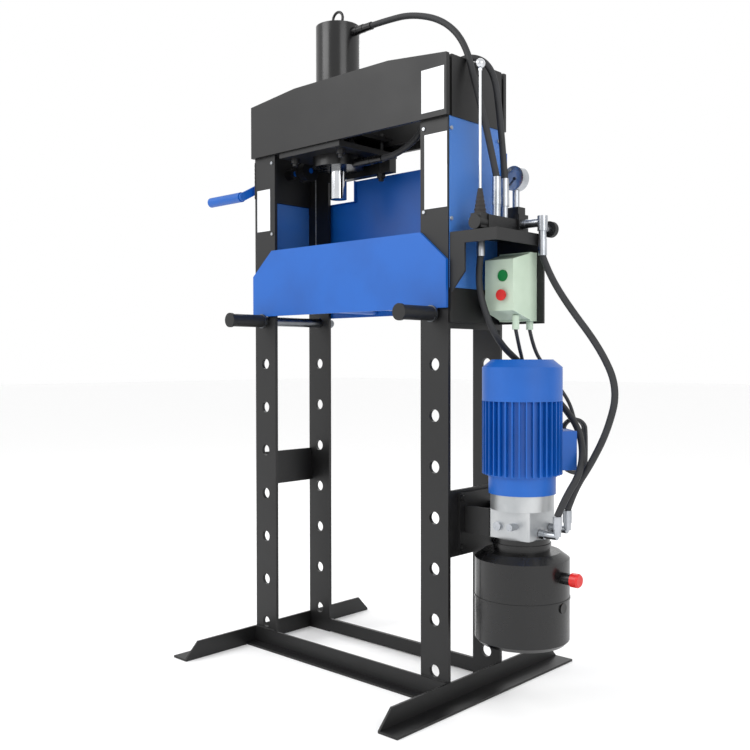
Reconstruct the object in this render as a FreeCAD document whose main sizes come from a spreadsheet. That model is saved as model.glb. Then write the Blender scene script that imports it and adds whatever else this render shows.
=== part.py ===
import FreeCAD, Part
import math
import os
import re
import Sketcher
from FreeCAD import Placement, Rotation, Vector

doc = FreeCAD.newDocument("hydraulicPress")
sheet = doc.addObject("Spreadsheet::Sheet", "sheet")

# Driving sizes in millimetres. X runs along the press, -Y is the front, the floor is Z = 0.
# The frame is drawn about its own middle. centreX is how far the middle of the whole press,
# with its pump and crank, lies to the right of that, and everything is set back by it.
sizes = {
    "centreX": 62.5,
    "legSpan": 656,
    "legWide": 90,
    "legThick": 10,
    "legTop": 1610,
    "frameDeep": 232,
    "plateThick": 8,
    "holeRadius": 16,
    "holePitch": 130,
    "holeLow": 70,
    "footLong": 753,
    "footWide": 60,
    "footHigh": 50,
    "angleThick": 6,
    "footCut": 43,
    "headBottom": 1470,
    "headEnd": 1624,
    "headTop": 1644,
    "headFlat": 182,
    "headHalf": 377,
    "headThick": 12,
    "guardThick": 1.5,
    "guardLow": 1043,
    "sidePlateLow": 1348,
    "bedLow": 992,
    "bedHigh": 194,
    "bedHalf": 373,
    "bedThick": 9,
    "bedCutWide": 85,
    "bedCutHigh": 73,
    "pinRadius": 13.95,
    "gripRadius": 18.5,
    "cylinderX": -132,
    "cylinderRadius": 64.5,
    "boreRadius": 50,
    "rodRadius": 25,
    "rodLow": 1335,
    "runGap": 0.05,
    "glandRadius": 75,
    "glandHigh": 30,
    "slidePlate": 15,
    "ledgeHigh": 12,
    "ledgeLow": 1490,
    "capTop": 1838,
    "eyeRadius": 20,
    "eyeWire": 4,
    "winchY": 13.5,
    "winchZ": 1440,
    "drumRadius": 30,
    "ropeRadius": 1.5,
    "ropeX": -270,
    "crankX": -400,
    "packX": 515,
    "tankRadius": 117,
    "tankLow": 162,
    "tankTop": 388,
    "manifoldLow": 422,
    "manifoldHigh": 70,
    "manifoldHalf": 59,
    "bellRadius": 78.5,
    "bellTop": 531,
    "shieldTop": 575,
    "motorRadius": 88,
    "finOut": 11,
    "motorTop": 764,
    "coverTop": 862,
    "shelfTop": 1180,
    "shelfRight": 518,
    "shelfFront": -112,
    "shelfBack": 97,
    "sheetThick": 6,
    "flangeHigh": 30,
    "valveX": 445,
    "valveLow": 1180,
    "valveHigh": 42,
    "gaugeRadius": 31.5,
    "boxLeft": 404,
    "boxWide": 94,
    "boxBack": 91,
    "boxLow": 946,
    "hoseRadius": 8.5,
    "cableRadius": 4.75,
}

for row, (alias, value) in enumerate(sizes.items(), start=1):
    sheet.set(f"A{row}", alias)
    sheet.set(f"B{row}", str(value))
    sheet.setAlias(f"B{row}", alias)
doc.recompute()

# A node name is matched with the document object that holds its final shape.
nodes = {}
words = re.compile(r"[A-Za-z]\w*")


def linked(text):
    return words.sub(lambda found: "sheet." + found.group(0) if found.group(0) in sizes else found.group(0),
                     str(text))


def bind(item, **values):
    for key, text in values.items():
        item.setExpression(key.replace("__", "."), linked(text))


def place(item, at, turn=None):
    if turn is not None:
        item.Placement = Placement(Vector(0, 0, 0), turn)
    along, across, up = at
    for letter, text in (("x", f"({along}) - centreX"), ("y", across), ("z", up)):
        item.setExpression("Placement.Base." + letter, linked(text))


turns = {
    "Z": Rotation(),
    "X": Rotation(Vector(0, 1, 0), 90),
    "Y": Rotation(Vector(1, 0, 0), -90),
}


def block(name, low, high):
    item = doc.addObject("Part::Box", name)
    spans = [f"({top}) - ({bottom})" for bottom, top in zip(low, high)]
    bind(item, Length=spans[0], Width=spans[1], Height=spans[2])
    place(item, low)
    return item


def rod(name, radius, length, at, axis="Z", turn=None):
    item = doc.addObject("Part::Cylinder", name)
    bind(item, Radius=radius, Height=length)
    place(item, at, turn or turns[axis])
    return item


def cone(name, low, top, length, at, axis="Z"):
    item = doc.addObject("Part::Cone", name)
    bind(item, Radius1=low, Radius2=top, Height=length)
    place(item, at, turns[axis])
    return item


def ring(name, radius, wire, at, axis="Z"):
    item = doc.addObject("Part::Torus", name)
    bind(item, Radius1=radius, Radius2=wire)
    place(item, at, turns[axis])
    return item


def join(name, items):
    item = doc.addObject("Part::MultiFuse", name)
    item.Shapes = items
    return item


def group(name, items):
    item = doc.addObject("Part::Compound", name)
    item.Links = items
    return item


def cut(name, base, tools):
    tool = tools[0] if len(tools) == 1 else join(name + "Tools", tools)
    item = doc.addObject("Part::Cut", name)
    item.Base = base
    item.Tool = tool
    return item


def originPlane(body, role):
    return next(plane for plane in body.Origin.OriginFeatures if plane.Role == role)


def outline(body, name, role, corners):
    # Each corner is held by two dimensions from the origin, both tied to the sheet.
    sketch = body.newObject("Sketcher::SketchObject", name)
    sketch.AttachmentSupport = [(originPlane(body, role), "")]
    sketch.MapMode = "FlatFace"
    count = len(corners)
    guess = [Vector(10 * math.cos(6.28 * i / count), 10 * math.sin(6.28 * i / count), 0)
             for i in range(count)]
    for index in range(count):
        sketch.addGeometry(Part.LineSegment(guess[index], guess[(index + 1) % count]))
    for index in range(count):
        sketch.addConstraint(Sketcher.Constraint("Coincident", index, 2, (index + 1) % count, 1))
    for index, corner in enumerate(corners):
        for kind, text in zip(("DistanceX", "DistanceY"), corner):
            sketch.addConstraint(Sketcher.Constraint(kind, -1, 1, index, 1, 1.0))
            sketch.setExpression(f"Constraints[{sketch.ConstraintCount - 1}]", linked(text))
    return sketch


def slab(name, role, corners, thick, at):
    body = doc.addObject("PartDesign::Body", name)
    sketch = outline(body, name + "Outline", role, corners)
    pad = body.newObject("PartDesign::Pad", name + "Pad")
    pad.Profile = sketch
    bind(pad, Length=thick)
    body.Tip = pad
    place(body, at)
    sketch.Visibility = False
    return body


def keep(node, item):
    item.Label = node
    nodes[node] = item
    return item


# Uprights: flat bars with a column of round holes. The first hole copy is repeated by a pattern.
holeCount = 9
backFace = "frameDeep/2"
for side, sign in (("left", "-"), ("right", "")):
    for face, back in (("front", "legThick - frameDeep/2"), ("back", backFace)):
        name = f"upright_{face}_{side}"
        half = "legWide/2"
        corners = [(f"-{half}", "0"), (half, "0"), (half, "legTop"), (f"-{half}", "legTop")]
        leg = slab(name, "XZ_Plane", corners, "legThick", (f"{sign}legSpan/2", back, "0"))
        sketch = leg.newObject("Sketcher::SketchObject", name + "Hole")
        sketch.AttachmentSupport = [(originPlane(leg, "XZ_Plane"), "")]
        sketch.MapMode = "FlatFace"
        sketch.addGeometry(Part.Circle(Vector(0, 70, 0), Vector(0, 0, 1), 16))
        sketch.addConstraint(Sketcher.Constraint("PointOnObject", 0, 3, -2))
        sketch.addConstraint(Sketcher.Constraint("DistanceY", -1, 1, 0, 3, 70.0))
        sketch.addConstraint(Sketcher.Constraint("Radius", 0, 16.0))
        sketch.setExpression("Constraints[1]", linked("holeLow"))
        sketch.setExpression("Constraints[2]", linked("holeRadius"))
        pocket = leg.newObject("PartDesign::Pocket", name + "Pocket")
        pocket.Profile = sketch
        pocket.Type = "ThroughAll"
        pocket.Midplane = True
        column = leg.newObject("PartDesign::LinearPattern", name + "Column")
        column.Originals = [pocket]
        column.Direction = (sketch, ["V_Axis"])
        column.Occurrences = holeCount
        bind(column, Length=f"holePitch*{holeCount - 1}")
        leg.Tip = column
        keep(name, leg)

outer = "legSpan/2 + legWide/2"
inner = "legSpan/2 + legWide/2 - plateThick"
deep = "frameDeep/2 - legThick"

# Flat plates between the front and back uprights, at the outer edges.
plates = [
    block("upperPlateRight", (inner, f"-({deep})", "sidePlateLow"), (outer, deep, "headBottom")),
    block("valvePlate", (inner, f"-({deep})", "940"), (outer, deep, "guardLow")),
    block("pumpPlate", (inner, f"-({deep})", "364"), (outer, deep, "532")),
    block("upperPlateLeft", (f"-({outer})", f"-({deep})", "sidePlateLow"),
          (f"-({inner})", deep, "headBottom")),
    block("tiePlate", (f"-({outer})", f"-({deep})", "478"), (f"-({inner})", deep, "579")),
]
shaftHole = rod("shaftHole", "11", "30", (f"-({outer}) - 10", "winchY", "winchZ"), "X")
plates[3] = cut("upperPlateLeftBored", plates[3], [shaftHole])

# Angle-iron feet: an upright flange against the leg edges and a flange on the floor pointing outwards.
footHalf = "footLong/2"
for side, sign in (("left", -1), ("right", 1)):
    corners = [
        (f"-({footHalf})", "0"), (footHalf, "0"), (footHalf, "angleThick"),
        (f"{footHalf} - footCut", "footHigh"), (f"footCut - {footHalf}", "footHigh"),
        (f"-({footHalf})", "angleThick"),
    ]
    start = outer if sign > 0 else f"-({outer}) - angleThick"
    web = slab(f"footWeb_{side}", "YZ_Plane", corners, "angleThick", (start, "0", "0"))
    if sign > 0:
        low = (outer, f"-({footHalf})", "0")
        high = (f"{outer} + footWide", footHalf, "angleThick")
    else:
        low = (f"-({outer}) - footWide", f"-({footHalf})", "0")
        high = (f"-({outer})", footHalf, "angleThick")
    keep(f"foot_{side}", join(f"foot{side.title()}", [web, block(f"footSole_{side}", low, high)]))

# Front cross angle in front of the legs, between the feet, and a flat bar between the back legs.
frontFace = "-frameDeep/2"
crossAngle = join("crossAngle", [
    block("crossAngleWeb", (f"-({outer})", f"{frontFace} - angleThick", "0"),
          (outer, frontFace, "footHigh")),
    block("crossAngleSole", (f"-({outer})", f"{frontFace} - 38", "0"), (outer, frontFace, "angleThick")),
])
keep("cross_angle", crossAngle)
gapHalf = "legSpan/2 - legWide/2"
keep("cross_bar", block("crossBar", (f"-({gapHalf})", deep, "3"), (gapHalf, "frameDeep/2", "41")))

# Crosshead: two profiled plates outside the legs, each with an inner slide ledge, and two end plates.
profile = [
    ("-headHalf", "headBottom"), ("headHalf", "headBottom"), ("headHalf", "headEnd"),
    ("headFlat", "headTop"), ("-headFlat", "headTop"), ("-headHalf", "headEnd"),
]
ledgeHalf = "legSpan/2 - legWide/2 - 3"
headFront = slab("headFrontPlate", "XZ_Plane", profile, "headThick", ("0", frontFace, "0"))
headBack = slab("headBackPlate", "XZ_Plane", profile, "headThick", ("0", "frameDeep/2 + headThick", "0"))
ledgeFront = block("ledgeFront", (f"-({ledgeHalf})", frontFace, "ledgeLow"),
                   (ledgeHalf, "20 - frameDeep/2", "ledgeLow + ledgeHigh"))
ledgeBack = block("ledgeBack", (f"-({ledgeHalf})", "frameDeep/2 - 20", "ledgeLow"),
                  (ledgeHalf, "frameDeep/2", "ledgeLow + ledgeHigh"))
keep("crosshead_front", join("crossheadFront", [headFront, ledgeFront]))
keep("crosshead_back", join("crossheadBack", [headBack, ledgeBack]))
ends = []
for side, low, high in (("Left", "-headHalf", "12 - headHalf"), ("Right", "headHalf - 12", "headHalf")):
    ends.append(block("headEnd" + side, (low, f"-({deep})", "headBottom"), (high, deep, "headEnd")))
keep("crosshead_ends", group("crossheadEnds", ends))

# Sheet guards: two flat ones on the leg edges and a stepped one behind, with folded sides.
guardHalf = "frameDeep/2 - 4"
for side, low, high in (
    ("left", f"-({outer}) - guardThick", f"-({outer})"),
    ("right", outer, f"{outer} + guardThick"),
):
    sheetPlate = block(f"guardSheet_{side}", (low, f"-({guardHalf})", "guardLow"),
                       (high, guardHalf, "headBottom"))
    if side == "left":
        opening = rod("guardHole", "11", "20", (f"-({outer}) - 10", "winchY", "winchZ"), "X")
        sheetPlate = cut("guardSheetBored", sheetPlate, [opening])
    keep(f"guard_{side}", sheetPlate)
rearY = "frameDeep/2 + headThick + 1"
rearHalf = "headHalf + guardThick"
rearParts = [
    slab("rearSheet", "XZ_Plane",
         [(f"-({rearHalf})", "guardLow"), (rearHalf, "guardLow"), (rearHalf, "1413"), ("-182", "1413"),
          ("-182", "1350"), (f"-({rearHalf})", "1350")],
         "guardThick", ("0", f"{rearY} + guardThick", "0")),
    block("rearFoldRight", ("headHalf", "frameDeep/2 - 9", "guardLow"), (rearHalf, rearY, "1413")),
    block("rearFoldLeft", (f"-({rearHalf})", "frameDeep/2 - 9", "guardLow"), ("-headHalf", rearY, "1350")),
    block("rearFoldStep", ("-182", "frameDeep/2 + 1", "1350"), ("guardThick - 182", rearY, "1413")),
    block("rearFoldLow", ("-headHalf", "frameDeep/2 + 1", "1350 - guardThick"),
          ("guardThick - 182", rearY, "1350")),
]
keep("guard_rear", join("guardRear", rearParts))

# Bolts that hold the guards and side plates to the leg edges, and small screws on the front legs.
bolts = []
for sign, start in (("", f"{outer} + guardThick"), ("-", f"-({outer}) - guardThick - 4")):
    for y in ("-(frameDeep/2 - 9)", "frameDeep/2 - 22"):
        for z in ("1215", "1440"):
            bolts.append(rod(f"guardBolt{len(bolts)}", "5", "4", (start, y, z), "X"))
for x in ("-(legSpan/2 - 33)", "legSpan/2 - 33"):
    for z in ("1237", "1448"):
        bolts.append(rod(f"legScrew{len(bolts)}", "4.5", "3", (x, f"{frontFace} - 3", z), "Y"))
for x in ("headHalf - 4", "-headHalf - guardThick - 4"):
    for z in ("1090", "1320"):
        length = "guardThick + 8"
        bolts.append(rod(f"rearBolt{len(bolts)}", "4", length, (x, "frameDeep/2 - 5", z), "X"))
keep("frame_bolts", group("frameBolts", bolts))

# Blank placards on the crosshead, the front legs and the tank stand off by their own thickness.
placards = [
    block("placardHead", ("297", f"{frontFace} - headThick - 1", "1484"),
          ("370", f"{frontFace} - headThick", "1592")),
    block("placardRight", ("297", f"{frontFace} - 1", "1244"), ("370", frontFace, "1432")),
    block("placardLeft", ("-362", f"{frontFace} - 1", "1248"), ("-304", frontFace, "1372")),
]
keep("placards", group("placardSet", placards))

# Bed: two profiled plates outside the legs, joined by end ribs and low spacers between the legs.
bedTop = "bedLow + bedHigh"
bedShape = [
    ("-bedHalf", "bedLow"), ("bedHalf", "bedLow"), ("bedHalf", f"{bedTop} - bedCutHigh"),
    ("bedHalf - bedCutWide", bedTop), ("bedCutWide - bedHalf", bedTop),
    ("-bedHalf", f"{bedTop} - bedCutHigh"),
]
bedFront = "-frameDeep/2 - 0.4"
bedBack = "frameDeep/2 + 0.4"
keep("bed_front", slab("bedFrontPlate", "XZ_Plane", bedShape, "bedThick", ("0", bedFront, "0")))
keep("bed_back", slab("bedBackPlate", "XZ_Plane", bedShape, "bedThick", ("0", f"{bedBack} + bedThick", "0")))
joiners = []
for index, x in enumerate((-270, 270)):
    joiners.append(block(f"bedRib{index}", (f"{x} - 6", bedFront, "1010"), (f"{x} + 6", bedBack, "1180")))
for index, x in enumerate((-95, 95)):
    joiners.append(rod(f"bedSpacer{index}", "15", "frameDeep + 0.8", (str(x), bedFront, "1012"), "Y"))
keep("bed_spacers", group("bedSpacers", joiners))

# Pins: the bed rests on their tops. Each has a collar against the front bed plate and a round grip.
pinZ = "bedLow - pinRadius"
collarY = "-frameDeep/2 - 0.4 - bedThick"
for side, x in (("left", "-legSpan/2"), ("right", "legSpan/2")):
    shank = rod(f"pinShank_{side}", "pinRadius", "frameDeep + 52", (x, collarY, pinZ), "Y")
    tip = cone(f"pinTip_{side}", "pinRadius", "pinRadius - 3", "5",
               (x, f"{collarY} + frameDeep + 52", pinZ), "Y")
    collar = rod(f"pinCollar_{side}", "21", "6", (x, f"{collarY} - 6.4", pinZ), "Y")
    grip = rod(f"pinGrip_{side}", "gripRadius", "112", (x, f"{collarY} - 118.4", pinZ), "Y")
    rim = rod(f"pinRim_{side}", "21", "8", (x, f"{collarY} - 126.4", pinZ), "Y")
    neck = rod(f"pinNeck_{side}", "pinRadius", "7", (x, f"{collarY} - 6.4", pinZ), "Y")
    keep(f"pin_{side}", join(f"pin{side.title()}", [shank, tip, collar, neck]))
    keep(f"grip_{side}", join(f"grip{side.title()}", [grip, rim]))

# Carriage: an upper plate slides on the crosshead ledges, a lower plate lies just under the crosshead.
cx = "cylinderX"
bodyGap = "cylinderRadius + 0.2"
upper = block("carriageUpper", (f"{cx} - 112", "0.5 - frameDeep/2", "ledgeLow + ledgeHigh"),
              (f"{cx} + 112", "frameDeep/2 - 0.5", "ledgeLow + ledgeHigh + 12"))
lower = block("carriageLower", (f"{cx} - 125", "-frameDeep/2 - 4", "headBottom - slidePlate - 0.3"),
              (f"{cx} + 125", "frameDeep/2 + 4", "headBottom - 0.3"))
bar = block("carriageBar", (f"{cx} - 125", "77", "headBottom - slidePlate - 45"),
            (f"{cx} + 135", "105", "headBottom - slidePlate - 0.3"))
plateBore = rod("carriageBore", bodyGap, "120", (cx, "0", "1420"))
studs = []
for dx in ("-95", "95"):
    for y in ("-84", "84"):
        foot = "headBottom - slidePlate - 0.3" if y == "-84" else "headBottom - slidePlate - 45"
        studs.append(rod(f"stud{len(studs)}", "8", f"ledgeLow + ledgeHigh + 12 - ({foot}) + 34",
                         (f"{cx} + {dx}", y, f"{foot} - 22")))
        studs.append(rod(f"nut{len(studs)}", "12.5", "13", (f"{cx} + {dx}", y, f"{foot} - 13")))
studNut = "ledgeLow + ledgeHigh + 12"
for dx in ("-95", "95"):
    for y in ("-84", "84"):
        studs.append(rod(f"topNut{len(studs)}", "12", "10", (f"{cx} + {dx}", y, studNut)))
plateBody = join("carriagePlates", [upper, lower, bar] + studs)
keep("carriage", cut("carriageBored", plateBody, [plateBore]))

# Cylinder: a tube with a threaded gland below and a head cap with a lifting eye above.
tubeLow = "headBottom - slidePlate - 0.3"
tube = rod("tubeOuter", "cylinderRadius", f"capTop - 20 - ({tubeLow})", (cx, "0", tubeLow))
tubeBore = rod("tubeBore", "boreRadius", "500", (cx, "0", "1400"))
stopRing = rod("stopRing", "cylinderRadius + 9", "14", (cx, "0", "ledgeLow + ledgeHigh + 12"))
upperPort = rod("upperPort", "13", "24", (f"{cx} + cylinderRadius - 4", "0", "1812"), "X")
upperNut = rod("upperNut", "12", "24", (f"{cx} + cylinderRadius + 18", "0", "1812"), "X")
upperFerrule = rod("upperFerrule", "11", "32", (f"{cx} + cylinderRadius + 40.5", "0", "1812"), "X")
tubeSolid = join("tubeSolid", [tube, stopRing, upperPort, upperNut, upperFerrule])
keep("cylinder_tube", cut("cylinderTube", tubeSolid, [tubeBore]))
eyeZ = "capTop + 26"
head = join("headCap", [
    rod("capDisc", "cylinderRadius", "20", (cx, "0", "capTop - 20")),
    ring("capEye", "eyeRadius", "eyeWire", (cx, "0", eyeZ), "Y"),
    rod("capBoss", "11", "9", (cx, "0", "capTop - 1")),
])
keep("cylinder_head", head)
lowerPortZ = "1430"
glandBody = join("glandBody", [
    rod("glandRing", "glandRadius", "glandHigh", (cx, "0", f"{tubeLow} - glandHigh")),
    rod("lowerPort", "12", "44", (f"{cx} + 68", "0", lowerPortZ), "X"),
    rod("lowerNut", "12", "22", (f"{cx} + 112", "0", lowerPortZ), "X"),
    rod("lowerFerrule", "11", "44", (f"{cx} + 134", "0", lowerPortZ), "X"),
])
glandBore = rod("glandBore", "rodRadius + runGap", "60", (cx, "0", "1400"))
keep("cylinder_gland", cut("cylinderGland", glandBody, [glandBore]))
ram = join("ramRod", [
    rod("rodShaft", "rodRadius", "1770 - rodLow", (cx, "0", "rodLow")),
    rod("pistonDisc", "boreRadius - runGap", "45", (cx, "0", "1755")),
])
keep("piston_rod", ram)

# Winch: a cranked shaft through the left side plate turns a drum; the wire rope runs down to the bed rib.
bearing = cut("winchBearing", rod("bearingBoss", "17", "30", (f"-({inner})", "winchY", "winchZ"), "X"),
              [rod("bearingBore", "8 + runGap", "60", (f"-({inner}) - 5", "winchY", "winchZ"), "X")])
keep("side_plates", group("sidePlates", plates + [bearing]))
armTurn = 28.0
arm = block("crankArm", ("0", "0", "0"), ("9", "178", "24"))
armPlace = Placement(Vector(0, 0, 0), Rotation(Vector(1, 0, 0), 180 + armTurn))
arm.Placement = armPlace.multiply(Placement(Vector(0, 0, -12), Rotation()))
bind(arm, Placement__Base__x="crankX - 4.5 - centreX",
     Placement__Base__y=f"winchY - 12*sin({armTurn})", Placement__Base__z=f"winchZ + 12*cos({armTurn})")
tipY = f"winchY - 178*cos({armTurn})"
tipZ = f"winchZ - 178*sin({armTurn})"
crank = [
    rod("winchShaft", "8", "142", ("crankX - 5", "winchY", "winchZ"), "X"),
    rod("crankBoss", "15", "11", ("crankX - 5.5", "winchY", "winchZ"), "X"),
    rod("crankEnd", "12", "9", ("crankX - 4.5", tipY, tipZ), "X"),
    arm,
]
crank.append(rod("crankGrip", "15", "150", ("crankX - 154", tipY, tipZ), "X"))
keep("winch_crank", join("winchCrank", crank))
drum = cut("drumBored", join("drumBody", [
    rod("drumCore", "drumRadius - 3", "30", ("-297", "winchY", "winchZ"), "X"),
    rod("drumRimLeft", "drumRadius + 2", "3", ("-300", "winchY", "winchZ"), "X"),
    rod("drumRimRight", "drumRadius + 2", "3", ("-267", "winchY", "winchZ"), "X"),
]), [rod("drumBore", "8.01", "60", ("-310", "winchY", "winchZ"), "X")])
keep("winch_drum", drum)
ropeY = "winchY + drumRadius - 3 + ropeRadius + 0.3"
keep("winch_rope", rod("winchRope", "ropeRadius", "winchZ - 1180", ("-273", ropeY, "1180")))

# Power pack: tank, manifold, bell, motor and fan cover share one upright axis.
px = "packX"
tankBody = join("tankBody", [
    rod("tankShell", "tankRadius", "tankTop - tankLow - 26", (px, "0", "tankLow + 10")),
    cone("tankBase", "tankRadius - 10", "tankRadius", "10", (px, "0", "tankLow")),
    cone("tankShoulder", "tankRadius", "tankRadius - 22", "16", (px, "0", "tankTop - 16")),
    rod("tankSeam", "tankRadius + 1.5", "5", (px, "0", "273")),
    rod("tankNeck", "69", "manifoldLow - tankTop + 1", (px, "0", "tankTop - 1")),
    rod("neckRing", "72", "9", (px, "0", "tankTop + 12")),
    rod("fillNeck", "14", "34", (f"{px} + tankRadius - 8", "0", "335"), "X"),
    rod("sightPlug", "13", "9", (f"{px} + tankRadius - 6", "0", "262"), "X"),
])
keep("oil_tank", tankBody)
capX = f"{px} + tankRadius + 26"
cap = join("fillerCap", [
    rod("capKnob", "17", "17", (capX, "0", "335"), "X"),
    cone("capCrown", "17", "14", "4", (f"{capX} + 17", "0", "335"), "X"),
])
keep("filler_cap", cap)
half = "manifoldHalf"
manifoldTop = "manifoldLow + manifoldHigh"
corners = [rod(f"manifoldPost{index}", "7", "manifoldHigh",
               (f"{px} {dx} ({half} - 7)", f"0 {dy} ({half} - 7)", "manifoldLow"))
           for index, (dx, dy) in enumerate((("+", "+"), ("+", "-"), ("-", "+"), ("-", "-")))]
core = block("manifoldCore", (f"{px} - {half}", f"6 - {half}", "manifoldLow"),
             (f"{px} + {half}", f"{half} - 6", manifoldTop))
wide = block("manifoldWide", (f"{px} - {half} + 6", f"-{half}", "manifoldLow"),
             (f"{px} + {half} - 6", half, manifoldTop))
shaftBore = rod("manifoldBore", "13 + runGap", "80", (px, "0", "440"))
manifold = cut("manifoldBlock", join("manifoldSolid", [core, wide] + corners), [shaftBore])
keep("manifold", manifold)
elbowX = f"{px} + {half} + 49"
fittings = []
for name, y, z in (("A", "-10", "436"), ("B", "35", "446")):
    fittings.append(rod(f"elbowStub{name}", "9", "48", (f"{px} + {half} + 1", y, z), "X"))
    fittings.append(rod(f"elbowNut{name}", "11", "14", (f"{px} + {half} + 1", y, z), "X"))
    fittings.append(rod(f"elbowRise{name}", "9", "24", (elbowX, y, z)))
    fittings.append(rod(f"elbowFerrule{name}", "11", "30", (elbowX, y, f"{z} + 18")))
fittings.append(rod("hexPlug", "11", "8", (f"{px} - 30", f"-{half} - 8", "452"), "Y"))
fittings.append(rod("coupler", "9", "26", (f"{px} + 20", f"-{half} - 26", "456"), "Y"))
keep("manifold_fittings", join("manifoldFittings", fittings))
bellBody = rod("bellBody", "bellRadius", f"bellTop - ({manifoldTop})", (px, "0", manifoldTop))
keep("bell", cut("bellShape", bellBody, [rod("bellHollow", "60", "100", (px, "0", "480"))]))
shell = [rod("shieldShell", "83", "shieldTop - bellTop", (px, "0", "bellTop")),
         rod("motorShell", "motorRadius", "motorTop - shieldTop", (px, "0", "shieldTop")),
         rod("coverSeat", "motorRadius + finOut", "4", (px, "0", "motorTop - 4"))]
finCount = 36
finList = []
for index in range(finCount):
    fin = block(f"fin{index}", ("0", "0", "0"), ("motorRadius + finOut", "3", "motorTop - shieldTop - 8"))
    angle = 360.0 / finCount * index
    fin.Placement = Placement(Vector(0, 0, 0), Rotation(Vector(0, 0, 1), angle))
    bind(fin, Placement__Base__x=f"packX + 1.5*sin({angle}) - centreX",
         Placement__Base__y=f"-1.5*cos({angle})",
         Placement__Base__z="shieldTop + 4")
    finList.append(fin)
terminalTurn = Rotation(Vector(0, 0, 1), 48)
terminal = block("terminalBlock", ("0", "0", "0"), ("46", "88", "96"))
terminal.Placement = Placement(Vector(0, 0, 0), terminalTurn)
bind(terminal, Placement__Base__x="packX + 80*cos(48) + 44*sin(48) - centreX",
     Placement__Base__y="80*sin(48) - 44*cos(48)", Placement__Base__z="590")
motorHollow = rod("motorHollow", "70", "300", (px, "0", "525"))
keep("motor_frame", cut("motorBody", join("motorSolid", shell + finList), [motorHollow]))
shellCutter = rod("terminalCutter", "motorRadius + finOut + 0.3", "200", (px, "0", "570"))

# Points beside the motor, by distance from its axis, distance aside and height, for its 48 degree corner.
boxTurn = 48


def beside(along, side):
    return (f"packX + ({along})*cos({boxTurn}) - ({side})*sin({boxTurn})",
            f"({along})*sin({boxTurn}) + ({side})*cos({boxTurn})")


sideways = Rotation(Vector(0, 0, 1), boxTurn).multiply(Rotation(Vector(1, 0, 0), -90))
leadGland = rod("leadGland", "8", "15", (*beside("106", "43"), "640"), turn=sideways)
coilPeg = rod("coilPeg", "5", "10", (*beside("119", "43"), "668"), turn=sideways)
terminalBody = cut("terminalBody", terminal, [shellCutter])
keep("terminal_box", join("terminalBox", [terminalBody, leadGland, coilPeg]))
coverParts = cut("coverShell", join("coverSolid", [
    rod("coverSide", "motorRadius + finOut", "843 - motorTop", (px, "0", "motorTop")),
    cone("coverCrown", "motorRadius + finOut", "76", "coverTop - 843", (px, "0", "843")),
]), [rod("coverHollow", "92", "74", (px, "0", "motorTop - 1")),
     cone("coverHollowTop", "92", "70", "21", (px, "0", "837"))])
keep("fan_cover", coverParts)
spinParts = [
    rod("spinShaft", "13", "400", (px, "0", "444")),
    rod("spinCore", "52", "150", (px, "0", "592")),
    rod("couplingLower", "30", "26", (px, "0", "496")),
    rod("fanHub", "28", "24", (px, "0", "786")),
    rod("fanDisc", "82", "3", (px, "0", "786")),
]
for index in range(6):
    blade = block(f"fanBlade{index}", ("0", "0", "0"), ("80", "3", "22"))
    angle = 60.0 * index
    blade.Placement = Placement(Vector(0, 0, 0), Rotation(Vector(0, 0, 1), angle))
    bind(blade, Placement__Base__x=f"packX + 1.5*sin({angle}) - centreX",
         Placement__Base__y=f"-1.5*cos({angle})",
         Placement__Base__z="788")
    spinParts.append(blade)
keep("rotor", join("rotorBody", spinParts))

# Pump bracket: a folded channel from the mounting plate to the manifold.
webX = f"{px} - {half}"
bracketParts = [
    block("bracketFoot", (outer, "-78", "372"), (f"{outer} + 8", "78", "524")),
    block("bracketWeb", (f"{webX} - 8", "-58", "manifoldLow"), (webX, "58", f"{manifoldTop} - 1")),
    block("bracketSideFront", (f"{outer} + 8", "-58", "manifoldLow"),
          (f"{webX} - 8", "-50", f"{manifoldTop} - 1")),
    block("bracketSideBack", (f"{outer} + 8", "50", "manifoldLow"),
          (f"{webX} - 8", "58", f"{manifoldTop} - 1")),
]
for index, (y, z) in enumerate((("-68", "511"), ("-68", "385"), ("68", "511"), ("68", "385"))):
    bracketParts.append(rod(f"bracketBolt{index}", "8", "7", (f"{outer} + 8", y, z), "X"))
keep("pump_bracket", join("pumpBracket", bracketParts))

# Valve bracket: a folded shelf with a front gusset and a rear plate, standing on a foot plate.
shelfLeft = f"{outer} + guardThick + 0.5"
gusset = slab("bracketGusset", "XZ_Plane", [
    (shelfLeft, "1027"), ("421", "1080"), ("421", "shelfTop - flangeHigh"),
    ("shelfRight", "shelfTop - flangeHigh"), ("shelfRight", "shelfTop"), (shelfLeft, "shelfTop"),
], "sheetThick", ("0", "shelfFront + sheetThick", "0"))
returnHole = rod("returnHole", "11.5", "20", ("424", "-50", "shelfTop - 12"))
shelf = cut("shelfBored", block("shelf", (shelfLeft, "shelfFront", "shelfTop - sheetThick"),
                                ("shelfRight", "shelfBack", "shelfTop")), [returnHole])
valveBracket = join("valveBracket", [
    gusset,
    shelf,
    block("shelfFold", ("shelfRight - sheetThick", "shelfFront", "shelfTop - flangeHigh"),
          ("shelfRight", "shelfBack", "shelfTop")),
    block("rearPlate", (shelfLeft, "shelfBack - sheetThick", "954"),
          ("shelfRight", "shelfBack", "shelfTop")),
    block("bracketBase", (outer, "shelfFront", "955"), (f"{outer} + sheetThick", "shelfBack", "1040")),
])
keep("valve_bracket", valveBracket)

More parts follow.
